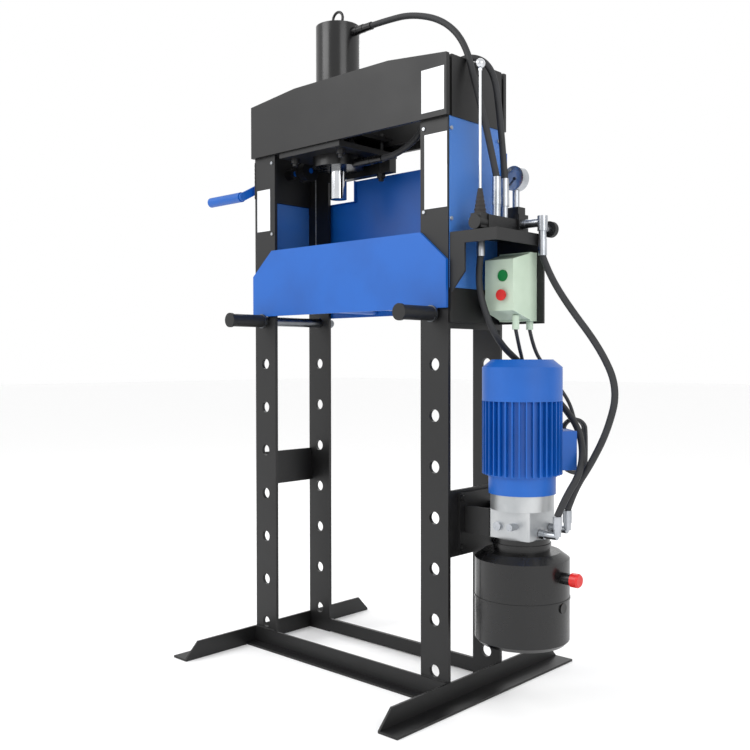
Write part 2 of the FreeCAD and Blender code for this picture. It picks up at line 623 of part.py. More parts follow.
# Lever valve: spool body along Y with a round end cap, an inlet section behind it and its ports on top.
vx = "valveX"
vz = "valveLow + 20"
valveTop = "valveLow + valveHigh"
valve = join("valveSolid", [
    block("spoolBody", (f"{vx} - 19", "-70", "valveLow"), (f"{vx} + 19", "52", f"{valveTop} - 2")),
    rod("spoolCap", "18", "34", (vx, "-104", vz), "Y"),
    block("leverHouse", (f"{vx} - 16", "-98", "valveLow + 6"), (f"{vx} + 16", "-66", valveTop)),
    block("inletBody", (f"{vx} - 23", "52", "valveLow"), (f"{vx} + 25", "94", "1234")),
    block("gaugeBlock", (f"{vx} - 17", "60", "1234"), (f"{vx} + 17", "92", "1254")),
])
leverZ = "1212"
keep("valve_body", cut("valveBored", valve, [
    rod("pivotBore", "5 + runGap", "22.4", (f"{vx} - 11.2", "-80", leverZ), "X"),
    block("leverSlot", (f"{vx} - 4.5", "-88", "1209"), (f"{vx} + 4.5", "-72", f"{valveTop} + 1")),
]))
fit = [
    rod("portAdapterA", "10", f"1253 - ({valveTop} - 3)", (vx, "-11", f"{valveTop} - 3")),
    rod("portNutA", "11.5", "20", (vx, "-11", "1252")),
    rod("portFerruleA", "11", "50", (vx, "-11", "1272")),
    rod("portAdapterB", "8", f"1253 - ({valveTop} - 3)", (vx, "25", f"{valveTop} - 3")),
    rod("portNutB", "11.5", "20", (vx, "25", "1252")),
    rod("portFerruleB", "11", "50", (vx, "25", "1272")),
    rod("gaugeStem", "9", "45", (vx, "75", "1253.5")),
    rod("pressureStub", "12", "14", (f"{vx} + 24", "68", "1208"), "X"),
    rod("pressureUnion", "11", "40", (f"{vx} + 37", "68", "1208"), "X"),
    rod("throttleBody", "13", "38", ("530", "68", "1186")),
    rod("throttleFoot", "10", "24", ("530", "68", "1163")),
    rod("pressureFerrule", "11", "41", ("530", "68", "1124")),
    rod("throttleNeck", "9", "20", ("530", "76", "1193"), "Y"),
    rod("returnStub", "10", "20", ("424", "-50", "1161")),
    rod("returnFerrule", "11", "41", ("424", "-50", "1121")),
]
keep("valve_fittings", join("valveFittings", fit))
throttle = cut("throttleKnob", join("throttleSolid", [
    rod("throttleDisc", "20.5", "14", ("530", "97", "1193"), "Y"),
    rod("throttleHub", "12", "4", ("530", "111", "1193"), "Y"),
]), [rod("throttleSocket", "5", "10", ("530", "96", "1193"), "Y")])
keep("throttle_knob", throttle)
boot = cut("leverBoot", cone("bootCone", "16", "6.5", "62", (vx, "-80", valveTop)), [
    cone("bootHollow", "13", "4", "62.2", (vx, "-80", f"{valveTop} - 0.1")),
])
keep("lever_boot", boot)
lever = join("valveLever", [
    rod("leverRod", "3.5", "370", (vx, "-80", leverZ)),
    rod("leverPivot", "5", "22", (f"{vx} - 11", "-80", leverZ), "X"),
    rod("leverBall", "5", "14", (vx, "-80", "1572")),
])
leverBall = doc.addObject("Part::Sphere", "ballKnob")
bind(leverBall, Radius="12.5")
place(leverBall, (vx, "-80", "1590"))
keep("valve_lever", join("valveLeverBall", [lever, leverBall]))
gaugeZ = "1329"
gaugeCase = cut("gaugeCase", rod("gaugeDrum", "gaugeRadius", "27", (vx, "61", gaugeZ), "Y"),
                [rod("gaugeHollow", "gaugeRadius - 2.5", "8", (vx, "60", gaugeZ), "Y")])
keep("gauge_case", gaugeCase)
needleHub = rod("needleHub", "3.5", "2.6", (vx, "65", gaugeZ), "Y")
pointer = block("needleArm", ("0", "0", "0"), ("23", "0.8", "2"))
pointer.Placement = Placement(Vector(0, 0, 0), Rotation(Vector(0, 1, 0), 135))
bind(pointer, Placement__Base__x="valveX - 0.7 - centreX", Placement__Base__y="65.4",
     Placement__Base__z=f"{gaugeZ} + 0.7")
keep("gauge_needle", join("gaugeNeedle", [needleHub, pointer]))

# Starter box: a flat base with a tapered cover, two push buttons in wells and two cable glands below.
cover = doc.addObject("Part::Wedge", "boxTaper")
bind(cover, Ymin="0", Ymax="66", Xmin="2", Xmax="boxWide - 6", Zmin="25", Zmax="154",
     X2min="0", X2max="boxWide", Z2min="3", Z2max="172")
place(cover, ("boxLeft", "-6", "960"))
starter = join("starterSolid", [
    cover,
    block("boxBase", ("boxLeft", "59.5", "960"), ("boxLeft + boxWide", "boxBack", "1135")),
    rod("glandFront", "9", "36", ("478", "26", "938")),
    rod("glandRear", "9", "30", ("484", "80", "938")),
])
wells = [rod("wellStart", "14.6", "12", ("461", "-7", "1073"), "Y"),
         rod("wellStop", "10.1", "12", ("461", "-7", "1024"), "Y")]
keep("starter_box", cut("starterBox", starter, wells))
keep("start_button", rod("startButton", "14.3", "9", ("461", "-9", "1073"), "Y"))
keep("stop_button", join("stopButton", [rod("stopStem", "9.8", "12", ("461", "-12", "1024"), "Y"),
                                        rod("stopHead", "14", "5", ("461", "-17", "1024"), "Y")]))


def vector(point):
    return Vector(*point)


def line(name, points, radius):
    # Straight runs joined by tangent arcs; each radius follows the shorter run next to it.
    points = [vector(point) for point in points]
    runs = [points[i + 1] - points[i] for i in range(len(points) - 1)]
    edges = []
    start = points[0]
    radii = []
    for index in range(1, len(points) - 1):
        before, after = runs[index - 1], runs[index]
        half = before.getAngle(after) / 2
        reach = 0.45 * min(before.Length, after.Length)
        radii.append(reach / math.tan(half))
        ahead = Vector(before).normalize()
        away = Vector(after).normalize()
        first = points[index] - ahead * reach
        last = points[index] + away * reach
        middle = points[index] + (away - ahead).normalize() * (radii[-1] * (1 / math.cos(half) - 1))
        edges.append(Part.LineSegment(start, first).toShape())
        edges.append(Part.Arc(first, middle, last).toShape())
        start = last
    edges.append(Part.LineSegment(start, points[-1]).toShape())
    wire = Part.Wire(edges)
    circle = Part.Wire([Part.Circle(points[0], runs[0], radius).toShape()])
    solid = wire.makePipeShell([circle], True, False)
    area = math.pi * radius ** 2 * wire.Length
    print(f"{name}: length {wire.Length:.0f}, radii {[round(r) for r in radii]}, "
          f"volume ratio {solid.Volume / area:.4f}")
    item = doc.addObject("Part::Feature", name)
    item.Shape = solid
    item.Placement = Placement(Vector(0, 0, 0), Rotation())
    return item


hoseRadius = float(sheet.get("hoseRadius"))
cableRadius = float(sheet.get("cableRadius"))
lines = {
    "hose_upper": (hoseRadius, [
        (-57.5, 0, 1812), (-2.5, 0, 1812), (97.5, -9, 1802), (222.5, -28, 1752), (309.5, -46, 1670),
        (347.5, -50, 1548), (369.5, -30, 1430), (382.5, -11, 1322),
    ]),
    "hose_lower": (hoseRadius, [
        (-16.5, 0, 1430), (45.5, 0, 1430), (137.5, 5, 1487), (194.5, 8, 1630), (277.5, 12, 1658),
        (353.5, 15, 1612), (373.5, 18, 1480), (382.5, 25, 1322),
    ]),
    "hose_pressure": (hoseRadius, [
        (467.5, 68, 1124), (486.5, 67, 1078), (540.5, 63, 1000), (637.5, 60, 885), (683.5, 58, 790),
        (653.5, 62, 690), (605.5, 66, 605), (569.5, 54, 545), (560.5, 35, 494),
    ]),
    "hose_return": (hoseRadius, [
        (361.5, -50, 1121), (347.5, -44, 1065), (361.5, -34, 985), (385.5, -6, 905), (377.5, 106, 850),
        (442.5, 142, 780), (527.5, 128, 705), (577.5, 80, 648), (599.5, 30, 588), (577.5, -2, 530),
        (560.5, -10, 484),
    ]),
    "motor_lead": (cableRadius, [
        (415.5, 26, 938), (413.5, 43, 897), (398.5, 80, 864), (393.5, 98, 828), (389.5, 118, 774),
        (403.5, 144, 712), (437.5, 150, 662), (480.3, 117.6, 640),
    ]),
    "supply_lead": (cableRadius, [
        (421.5, 80, 938), (423.5, 96, 888), (431.5, 132, 845), (449.5, 170, 795), (482.5, 180, 745),
        (507.5, 153.5, 712),
    ]),
}
for name, (radius, points) in lines.items():
    keep(name, line(name.replace("_", ""), points, radius))

# Hung coil of the supply lead: one closed oval solid beside the terminal box, in an upright radial plane.
# Its peg and the lead gland belong to the terminal box.
coilTurn = math.radians(48)


def around(along, side, z):
    middle = float(sheet.get("packX")) - float(sheet.get("centreX"))
    x = middle + along * math.cos(coilTurn) - side * math.sin(coilTurn)
    return Vector(x, along * math.sin(coilTurn) + side * math.cos(coilTurn), z)


section = Part.Wire([Part.Circle(around(126, 60, 640), Vector(0, 0, 1), 9).toShape()])
oval = Part.Wire([
    Part.LineSegment(around(126, 60, 640), around(126, 60, 680)).toShape(),
    Part.Arc(around(126, 60, 680), around(152, 60, 706), around(178, 60, 680)).toShape(),
    Part.LineSegment(around(178, 60, 680), around(178, 60, 600)).toShape(),
    Part.Arc(around(178, 60, 600), around(152, 60, 574), around(126, 60, 600)).toShape(),
    Part.LineSegment(around(126, 60, 600), around(126, 60, 640)).toShape(),
])
coil = doc.addObject("Part::Feature", "supplyCoil")
coil.Shape = oval.makePipeShell([section], True, False)
coil.Placement = Placement(Vector(0, 0, 0), Rotation())
keep("supply_coil", coil)


doc.recompute()
os.makedirs("parts", exist_ok=True)
for item in doc.Objects:
    if "Invalid" in item.State or "Error" in item.State:
        raise RuntimeError(f"{item.Name} has state {item.State}")
for node, item in nodes.items():
    shape = item.Shape
    if shape.isNull() or not shape.isValid():
        raise RuntimeError(f"{node} has no valid shape")
    shape.exportStep(f"parts/{node}.step")
print(f"{len(nodes)} nodes written")
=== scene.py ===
import math

import bmesh
import bpy
from mathutils import Matrix, Vector


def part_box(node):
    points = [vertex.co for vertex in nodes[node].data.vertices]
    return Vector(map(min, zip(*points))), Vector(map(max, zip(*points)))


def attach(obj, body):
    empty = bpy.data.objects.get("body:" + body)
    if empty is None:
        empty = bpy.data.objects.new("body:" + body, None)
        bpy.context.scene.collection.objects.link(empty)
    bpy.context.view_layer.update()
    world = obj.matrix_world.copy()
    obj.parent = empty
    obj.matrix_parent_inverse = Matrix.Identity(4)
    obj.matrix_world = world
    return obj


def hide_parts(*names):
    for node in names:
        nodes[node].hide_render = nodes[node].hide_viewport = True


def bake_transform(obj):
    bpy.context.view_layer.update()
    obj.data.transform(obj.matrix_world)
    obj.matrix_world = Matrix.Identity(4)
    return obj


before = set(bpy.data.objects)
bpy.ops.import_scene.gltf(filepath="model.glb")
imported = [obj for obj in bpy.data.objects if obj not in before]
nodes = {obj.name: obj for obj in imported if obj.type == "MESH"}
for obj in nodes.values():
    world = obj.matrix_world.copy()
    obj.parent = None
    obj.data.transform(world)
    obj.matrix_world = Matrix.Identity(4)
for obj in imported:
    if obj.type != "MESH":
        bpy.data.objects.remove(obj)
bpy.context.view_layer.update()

scene = bpy.context.scene


# Colours and the node helper.

def linear(hexText):
    values = []
    for start in (1, 3, 5):
        value = int(hexText[start:start + 2], 16) / 255
        values.append(value / 12.92 if value <= 0.04045 else ((value + 0.055) / 1.055) ** 2.4)
    return (*values, 1)


def addNode(tree, kind, settings=None, links=None, **values):
    node = tree.nodes.new(kind)
    for key, value in (settings or {}).items():
        setattr(node, key, value)
    for key, value in values.items():
        node.inputs[key.replace("_", " ")].default_value = value
    for key, source in (links or {}).items():
        tree.links.new(source, node.inputs[key])
    return node


def newMaterial(name):
    material = bpy.data.materials.new(name)
    material.use_nodes = True
    tree = material.node_tree
    return material, tree, tree.nodes["Principled BSDF"]


def layFinish(tree, shader, look, coords):
    # Two noises: a fine one for the finish's own texture, and a broad one for handling marks.
    fine = addNode(tree, "ShaderNodeTexNoise", links={"Vector": coords},
                   Scale=look["fineScale"], Detail=4.0)
    broad = addNode(tree, "ShaderNodeTexNoise", links={"Vector": coords},
                    Scale=look["broadScale"], Detail=5.0)
    tint = addNode(tree, "ShaderNodeValToRGB", links={"Fac": broad.outputs["Fac"]})
    tint.color_ramp.elements[0].position = 0.35
    tint.color_ramp.elements[0].color = linear(look["shade"])
    tint.color_ramp.elements[1].position = 0.65
    tint.color_ramp.elements[1].color = linear(look["colour"])
    gloss = addNode(tree, "ShaderNodeMapRange", links={"Value": broad.outputs["Fac"]})
    gloss.inputs["From Min"].default_value = 0.3
    gloss.inputs["From Max"].default_value = 0.7
    gloss.inputs["To Min"].default_value = look["roughness"] - 0.05
    gloss.inputs["To Max"].default_value = look["roughness"] + 0.06
    bump = addNode(tree, "ShaderNodeBump", links={"Height": fine.outputs["Fac"]},
                   Strength=look["bump"], Distance=look["grain"])
    tree.links.new(tint.outputs["Color"], shader.inputs["Base Color"])
    tree.links.new(gloss.outputs["Result"], shader.inputs["Roughness"])
    tree.links.new(bump.outputs["Normal"], shader.inputs["Normal"])
    shader.inputs["Metallic"].default_value = look["metallic"]
    return tint


def finish(name, look):
    material, tree, shader = newMaterial(name)
    coords = addNode(tree, "ShaderNodeTexCoord").outputs["Object"]
    layFinish(tree, shader, look, coords)
    return material


# Powder coat on steel: a fine orange peel about 2.5 mm apart gives broad, soft highlights.
blackPowder = {"colour": "#0b0b0c", "shade": "#070708", "roughness": 0.5, "metallic": 0.0,
               "fineScale": 400.0, "broadScale": 6.0, "bump": 0.18, "grain": 0.0004}
# The same coat in blue.
bluePowder = {"colour": "#0058b0", "shade": "#004d9e", "roughness": 0.42, "metallic": 0.0,
              "fineScale": 400.0, "broadScale": 5.0, "bump": 0.14, "grain": 0.0004}
# Gloss enamel: smooth, with sharp reflections.
blackGloss = {"colour": "#09090a", "shade": "#060607", "roughness": 0.26, "metallic": 0.0,
              "fineScale": 300.0, "broadScale": 8.0, "bump": 0.06, "grain": 0.0003}
# Ground hard chrome: near mirror bright.
hardChrome = {"colour": "#d9dbde", "shade": "#c8cace", "roughness": 0.1, "metallic": 1.0,
              "fineScale": 900.0, "broadScale": 10.0, "bump": 0.02, "grain": 0.0001}
# Bright zinc plate on bolts and fittings: clean, slightly cloudy.
brightZinc = {"colour": "#b9bcc1", "shade": "#a4a8ad", "roughness": 0.3, "metallic": 1.0,
              "fineScale": 700.0, "broadScale": 30.0, "bump": 0.06, "grain": 0.0002}
# Turned steel: duller than zinc, with handling marks.
turnedSteel = {"colour": "#85888c", "shade": "#6f7276", "roughness": 0.36, "metallic": 1.0,
               "fineScale": 700.0, "broadScale": 20.0, "bump": 0.08, "grain": 0.0002}
# Cast and machined aluminium: pale, with a sandy skin.
castAluminium = {"colour": "#c3c5c6", "shade": "#aeb1b3", "roughness": 0.44, "metallic": 1.0,
                 "fineScale": 450.0, "broadScale": 14.0, "bump": 0.2, "grain": 0.0005}
# Moulded black plastic: an even, low sheen.
mouldedGrip = {"colour": "#0b0c0e", "shade": "#08090a", "roughness": 0.55, "metallic": 0.0,
               "fineScale": 800.0, "broadScale": 25.0, "bump": 0.12, "grain": 0.0002}
# Soft rubber: brown-black and dull.
softRubber = {"colour": "#2a2523", "shade": "#1f1b1a", "roughness": 0.7, "metallic": 0.0,
              "fineScale": 700.0, "broadScale": 25.0, "bump": 0.2, "grain": 0.0003}
# PVC sheath: smooth dark grey.
cablePvc = {"colour": "#2c2d2f", "shade": "#222325", "roughness": 0.5, "metallic": 0.0,
            "fineScale": 900.0, "broadScale": 30.0, "bump": 0.06, "grain": 0.0002}
# Moulded polycarbonate: pale grey-green with a fine texture.
boxPlastic = {"colour": "#c2d3c0", "shade": "#b7c9b5", "roughness": 0.45, "metallic": 0.0,
              "fineScale": 700.0, "broadScale": 12.0, "bump": 0.1, "grain": 0.0002}
# Glossy moulded caps, green and red.
greenPlastic = {"colour": "#0d7a3c", "shade": "#0a6a33", "roughness": 0.3, "metallic": 0.0,
                "fineScale": 700.0, "broadScale": 30.0, "bump": 0.03, "grain": 0.0001}
redPlastic = {"colour": "#d41f1c", "shade": "#bb1a17", "roughness": 0.3, "metallic": 0.0,
              "fineScale": 700.0, "broadScale": 30.0, "bump": 0.03, "grain": 0.0001}
# Blank printed film: flat and smooth.
whiteFilm = {"colour": "#e6e7e8", "shade": "#dcdddf", "roughness": 0.4, "metallic": 0.0,
             "fineScale": 700.0, "broadScale": 15.0, "bump": 0.03, "grain": 0.0001}
# Stranded wire: the strands show as tight ripples.
wireStrand = {"colour": "#9a9c9e", "shade": "#707274", "roughness": 0.35, "metallic": 1.0,
              "fineScale": 1500.0, "broadScale": 300.0, "bump": 0.5, "grain": 0.0004}


# Perforated guard sheet: pale dots about 1.8 mm across, where the light comes through the holes.
# They stand 5 mm apart along each row, in staggered rows 2.5 mm apart.
guardHoles = {"spacing": 0.005, "cut": 0.45, "colour": "#7fb0ea"}


def perforated(name, look):
    material, tree, shader = newMaterial(name)
    coords = addNode(tree, "ShaderNodeTexCoord").outputs["Object"]
    tint = layFinish(tree, shader, look, coords)
    parts = addNode(tree, "ShaderNodeSeparateXYZ", links={"Vector": coords})
    cells = []
    for axis in ("Y", "Z"):
        wave = addNode(tree, "ShaderNodeMath", {"operation": "MULTIPLY"}, {0: parts.outputs[axis]})
        wave.inputs[1].default_value = 2 * math.pi / guardHoles["spacing"]
        sine = addNode(tree, "ShaderNodeMath", {"operation": "SINE"}, {0: wave.outputs[0]})
        cells.append(sine)
    both = addNode(tree, "ShaderNodeMath", {"operation": "MULTIPLY"},
                   {0: cells[0].outputs[0], 1: cells[1].outputs[0]})
    holes = addNode(tree, "ShaderNodeMath", {"operation": "GREATER_THAN"}, {0: both.outputs[0]})
    holes.inputs[1].default_value = guardHoles["cut"]
    mix = addNode(tree, "ShaderNodeMix", {"data_type": "RGBA"}, {"Factor": holes.outputs[0]})
    tree.links.new(tint.outputs["Color"], mix.inputs[6])
    mix.inputs[7].default_value = linear(guardHoles["colour"])
    tree.links.new(mix.outputs[2], shader.inputs["Base Color"])
    return material


# Wrapped hose cover: slanted marks of the cloth wrap, 5.7 mm apart along an upright hose.
hoseWrap = {"scale": 110.0, "waver": 1.5, "bump": 0.35, "height": 0.0006}


def braided(name, look):
    material, tree, shader = newMaterial(name)
    coords = addNode(tree, "ShaderNodeTexCoord").outputs["Object"]
    layFinish(tree, shader, look, coords)
    wrap = addNode(tree, "ShaderNodeTexWave", {"wave_type": "BANDS", "bands_direction": "DIAGONAL"},
                   {"Vector": coords}, Scale=hoseWrap["scale"], Distortion=hoseWrap["waver"], Detail=1.0)
    bump = addNode(tree, "ShaderNodeBump", links={"Height": wrap.outputs["Fac"]},
                   Strength=hoseWrap["bump"], Distance=hoseWrap["height"])
    tree.links.new(bump.outputs["Normal"], shader.inputs["Normal"])
    return material


hoseCover = dict(softRubber, colour="#26272a", shade="#1b1c1e", roughness=0.62)
materials = {
    "blackPaint": finish("Satin black powder coat", blackPowder),
    "bluePaint": finish("Satin blue powder coat", bluePowder),
    "guardSheet": perforated("Perforated blue guard sheet", bluePowder),
    "gloss": finish("Gloss black enamel", blackGloss),
    "chrome": finish("Hard chrome", hardChrome),
    "zinc": finish("Bright zinc plate", brightZinc),
    "steel": finish("Turned steel", turnedSteel),
    "aluminium": finish("Cast aluminium", castAluminium),
    "grip": finish("Moulded black plastic", mouldedGrip),
    "rubber": finish("Soft moulded rubber", softRubber),
    "hose": braided("Wrapped hose rubber", hoseCover),
    "cable": finish("PVC cable sheath", cablePvc),
    "box": finish("Pale grey-green polycarbonate", boxPlastic),
    "green": finish("Green moulded plastic", greenPlastic),
    "red": finish("Red moulded plastic", redPlastic),
    "film": finish("Blank white film", whiteFilm),
    "wire": finish("Galvanised wire rope", wireStrand),
    "dial": finish("Printed gauge dial", dict(whiteFilm, colour="#eef0f1", shade="#e2e5e7")),
    "ink": finish("Black printing ink", dict(mouldedGrip, roughness=0.6)),
}
print("stage: materials")

finishes = {
    "blackPaint": ["upright_front_left", "upright_front_right", "upright_back_left",
                   "upright_back_right", "side_plates", "foot_left", "foot_right", "cross_angle",
                   "cross_bar", "crosshead_front", "crosshead_back", "crosshead_ends", "carriage",
                   "valve_bracket", "valve_body", "pump_bracket", "winch_drum", "gauge_needle"],
    "gloss": ["cylinder_tube", "cylinder_head", "cylinder_gland", "oil_tank"],
    "bluePaint": ["bed_front", "bed_back", "bed_spacers", "winch_crank", "motor_frame", "fan_cover",
                  "terminal_box", "guard_rear"],
    "guardSheet": ["guard_left", "guard_right"],
    "chrome": ["piston_rod", "valve_lever"],
    "zinc": ["frame_bolts", "valve_fittings", "manifold_fittings", "gauge_case"],
    "steel": ["pin_left", "pin_right", "rotor"],
    "aluminium": ["manifold", "bell"],
    "grip": ["grip_left", "grip_right", "throttle_knob"],
    "rubber": ["lever_boot"],
    "box": ["starter_box"],
    "green": ["start_button"],
    "red": ["stop_button", "filler_cap"],
    "film": ["placards"],
    "wire": ["winch_rope"],
}
for key, names in finishes.items():
    for name in names:
        mesh = nodes[name].data
        mesh.materials.clear()
        mesh.materials.append(materials[key])
print("stage: frame finishes")

# Hoses and cables: routes in metres, along the middle of each.
cordRoutes = {
    "hose_upper": {"radius": 0.0085, "length": 0.768, "points": [
        (-0.0575, 0, 1.812), (-0.0025, 0, 1.812), (0.0975, -0.009, 1.802), (0.2225, -0.028, 1.752),
        (0.3095, -0.046, 1.670), (0.3475, -0.050, 1.548), (0.3695, -0.030, 1.430),
        (0.3825, -0.011, 1.322)]},
    "hose_lower": {"radius": 0.0085, "length": 0.773, "points": [
        (-0.0165, 0, 1.430), (0.0455, 0, 1.430), (0.1375, 0.005, 1.487), (0.1945, 0.008, 1.630),
        (0.2775, 0.012, 1.658), (0.3535, 0.015, 1.612), (0.3735, 0.018, 1.480), (0.3825, 0.025, 1.322)]},
    "hose_pressure": {"radius": 0.0085, "length": 0.723, "points": [
        (0.4675, 0.068, 1.124), (0.4865, 0.067, 1.078), (0.5405, 0.063, 1.000), (0.6375, 0.060, 0.885),
        (0.6835, 0.058, 0.790), (0.6535, 0.062, 0.690), (0.6055, 0.066, 0.605), (0.5695, 0.054, 0.545),
        (0.5605, 0.035, 0.494)]},
    "hose_return": {"radius": 0.0085, "length": 0.840, "points": [
        (0.3615, -0.050, 1.121), (0.3475, -0.044, 1.065), (0.3615, -0.034, 0.985),
        (0.3855, -0.006, 0.905), (0.3775, 0.106, 0.850), (0.4425, 0.142, 0.780),
        (0.5275, 0.128, 0.705), (0.5775, 0.080, 0.648), (0.5995, 0.030, 0.588),
        (0.5775, -0.002, 0.530), (0.5605, -0.010, 0.484)]},
    "motor_lead": {"radius": 0.00475, "length": 0.376, "points": [
        (0.4155, 0.026, 0.938), (0.4135, 0.043, 0.897), (0.3985, 0.080, 0.864), (0.3935, 0.098, 0.828),
        (0.3895, 0.118, 0.774), (0.4035, 0.144, 0.712), (0.4375, 0.150, 0.662),
        (0.4803, 0.1176, 0.640)]},
    "supply_lead": {"radius": 0.00475, "length": 0.281, "points": [
        (0.4215, 0.080, 0.938), (0.4235, 0.096, 0.888), (0.4315, 0.132, 0.845), (0.4495, 0.170, 0.795),
        (0.4825, 0.180, 0.745), (0.5075, 0.1535, 0.712)]},
}
# The two ram hoses reach from the sliding cylinder to the valve; here they are made into fixed meshes.
crossing = {"hose_upper": {"start": (0.02, 0, 1.812), "end": (0.365, -0.03, 1.43)},
            "hose_lower": {"start": (0.06, 0, 1.44), "end": (0.36, 0.018, 1.48)}}


def middle(node):
    low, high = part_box(node)
    return (low + high) / 2


def routeCurve(name, cord, bevel):
    curve = bpy.data.curves.new(name + "_line", "CURVE")
    curve.dimensions = "3D"
    curve.bevel_depth = bevel
    curve.bevel_resolution = 6
    curve.use_fill_caps = True
    spline = curve.splines.new("NURBS")
    spline.points.add(len(cord["points"]) - 1)
    for point, place in zip(spline.points, cord["points"]):
        point.co = (*place, 1)
    spline.order_u = 3
    spline.use_endpoint_u = True
    spline.resolution_u = 16
    piece = bpy.data.objects.new(name + "_cover", curve)
    scene.collection.objects.link(piece)
    return piece


def curveMesh(piece):
    bpy.context.view_layer.update()
    graph = bpy.context.evaluated_depsgraph_get()
    mesh = bpy.data.meshes.new_from_object(piece.evaluated_get(graph))
    bpy.data.objects.remove(piece)
    return mesh


for name, cord in cordRoutes.items():
    material = materials["hose" if name.startswith("hose") else "cable"]
    path = None
    if name in crossing:
        path = [tuple(vertex.co) for vertex in curveMesh(routeCurve(name, cord, 0)).vertices]
        mesh = curveMesh(routeCurve(name, cord, cord["radius"]))
        mesh.materials.clear()
        mesh.materials.append(material)
        for face in mesh.polygons:
            face.use_smooth = True
        piece = bpy.data.objects.new(name + "_cover", mesh)
        scene.collection.objects.link(piece)
        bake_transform(piece)
    else:
        piece = routeCurve(name, cord, cord["radius"])
        piece.data.materials.append(material)
        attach(piece, "frame")
    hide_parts(name)

# The hung length of the supply lead: turns of cable laid side by side against the terminal box.
# The tail is its last two points, given as along, side and height. The length is what these turns
# measure, rounded, given as a fixed number.
hank = {"turns": 2.75, "perTurn": 16, "radius": 0.029, "halfRun": 0.040, "middle": 0.640,
        "along": 0.152, "side": 0.076, "pitch": 0.0097, "corner": 48, "cable": 0.00475,
        "length": 0.95, "tail": [(0.121, 0.0475, 0.630), (0.117, 0.0400, 0.650)]}
motorAxis = middle("motor_frame")
corner = math.radians(hank["corner"])


def besideMotor(along, side, z):
    return (motorAxis.x + along * math.cos(corner) - side * math.sin(corner),
            motorAxis.y + along * math.sin(corner) + side * math.cos(corner), z)


hankPoints = [cordRoutes["supply_lead"]["points"][-1]]
for index in range(int(hank["turns"] * hank["perTurn"])):
    angle = math.pi / 2 - 2 * math.pi * (index + 0.5) / hank["perTurn"]
    run = math.copysign(hank["halfRun"], math.sin(angle))
    hankPoints.append(besideMotor(hank["along"] + hank["radius"] * math.cos(angle),
                                  hank["side"] - hank["pitch"] * index / hank["perTurn"],
                                  hank["middle"] + run + hank["radius"] * math.sin(angle)))
hankPoints += [besideMotor(*place) for place in hank["tail"]]
hankPiece = routeCurve("supply_coil", {"points": hankPoints}, hank["cable"])
hankPiece.data.materials.append(materials["cable"])
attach(hankPiece, "frame")
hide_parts("supply_coil")
print("stage: cords")


# Turned, twisted and printed pieces that the frame's solids only block out.

def addPiece(name, mesh, material, body=None, smooth=False):
    piece = bpy.data.objects.new(name, mesh)
    scene.collection.objects.link(piece)
    mesh.materials.append(materials[material])
    for face in mesh.polygons:
        face.use_smooth = smooth
    if body:
        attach(piece, body)
    return piece


def lathe(name, profile, at, axis, material, body=None):
    # Spins a list of (radius, height) about an axis through a point.
    steps = 48
    turned = bmesh.new()
    loops = []
    for radius, height in profile:
        loop = []
        for step in range(steps):
            angle = 2 * math.pi * step / steps
            loop.append(turned.verts.new((radius * math.cos(angle), radius * math.sin(angle), height)))
        loops.append(loop)
    for lower, upper in zip(loops, loops[1:]):
        for step in range(steps):
            after = (step + 1) % steps
            turned.faces.new((lower[step], lower[after], upper[after], upper[step]))
    turned.faces.new(list(reversed(loops[0])))
    turned.faces.new(loops[-1])
    up = Vector(axis).normalized()
    facing = up.to_track_quat("Z", "Y").to_matrix().to_4x4()
    turned.transform(Matrix.Translation(at) @ facing)
    bmesh.ops.recalc_face_normals(turned, faces=turned.faces)
    mesh = bpy.data.meshes.new(name)
    turned.to_mesh(mesh)
    turned.free()
    return addPiece(name, mesh, material, body, smooth=True)


# Lever boot: a ribbed rubber bellows, standing upright at the foot of the lever.
bootLow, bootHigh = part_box("lever_boot")
boot = {"ribs": 6, "foot": 0.0155, "neck": 0.0058, "rib": 0.0012, "bore": 0.0045, "gap": 0.0002,
        "stiffTop": 0.012}
bootTall = bootHigh.z - bootLow.z
profile = [(boot["bore"], boot["gap"]), (boot["foot"], boot["gap"])]
for index in range(boot["ribs"] * 6):
    share = (index + 1) / (boot["ribs"] * 6)
    radius = boot["foot"] + (boot["neck"] - boot["foot"]) * share
    radius += boot["rib"] * math.cos(2 * math.pi * share * boot["ribs"]) * (1 - share)
    profile.append((min(radius, boot["foot"]), bootTall * share - boot["gap"]))
profile.append((boot["bore"], bootTall - boot["gap"]))
leverFoot = ((bootLow.x + bootHigh.x) / 2, (bootLow.y + bootHigh.y) / 2)
bellows = lathe("boot_bellows", profile, (*leverFoot, bootLow.z), (0, 0, 1), "rubber")
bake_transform(bellows)
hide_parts("lever_boot")

# Winch rope: laid strands twisted about a core.
ropeLow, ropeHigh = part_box("winch_rope")
rope = {"strands": 6, "lay": 0.02, "strand": 0.00048, "core": 0.00095, "steps": 130, "sides": 6}
ropeAt = (ropeLow + ropeHigh) / 2
laid = bmesh.new()
for strand in range(rope["strands"]):
    loops = []
    for step in range(rope["steps"] + 1):
        z = ropeLow.z + (ropeHigh.z - ropeLow.z) * step / rope["steps"]
        turn = 2 * math.pi * ((z - ropeLow.z) / rope["lay"] + strand / rope["strands"])
        centre = Vector((ropeAt.x + rope["core"] * math.cos(turn),
                         ropeAt.y + rope["core"] * math.sin(turn), z))
        loops.append([laid.verts.new(centre + Vector((math.cos(a), math.sin(a), 0)) * rope["strand"])
                      for a in (2 * math.pi * k / rope["sides"] for k in range(rope["sides"]))])
    for lower, upper in zip(loops, loops[1:]):
        for k in range(rope["sides"]):
            after = (k + 1) % rope["sides"]
            laid.faces.new((lower[k], lower[after], upper[after], upper[k]))
    laid.faces.new(list(reversed(loops[0])))
    laid.faces.new(loops[-1])
mesh = bpy.data.meshes.new("rope_strands")
laid.to_mesh(mesh)
laid.free()
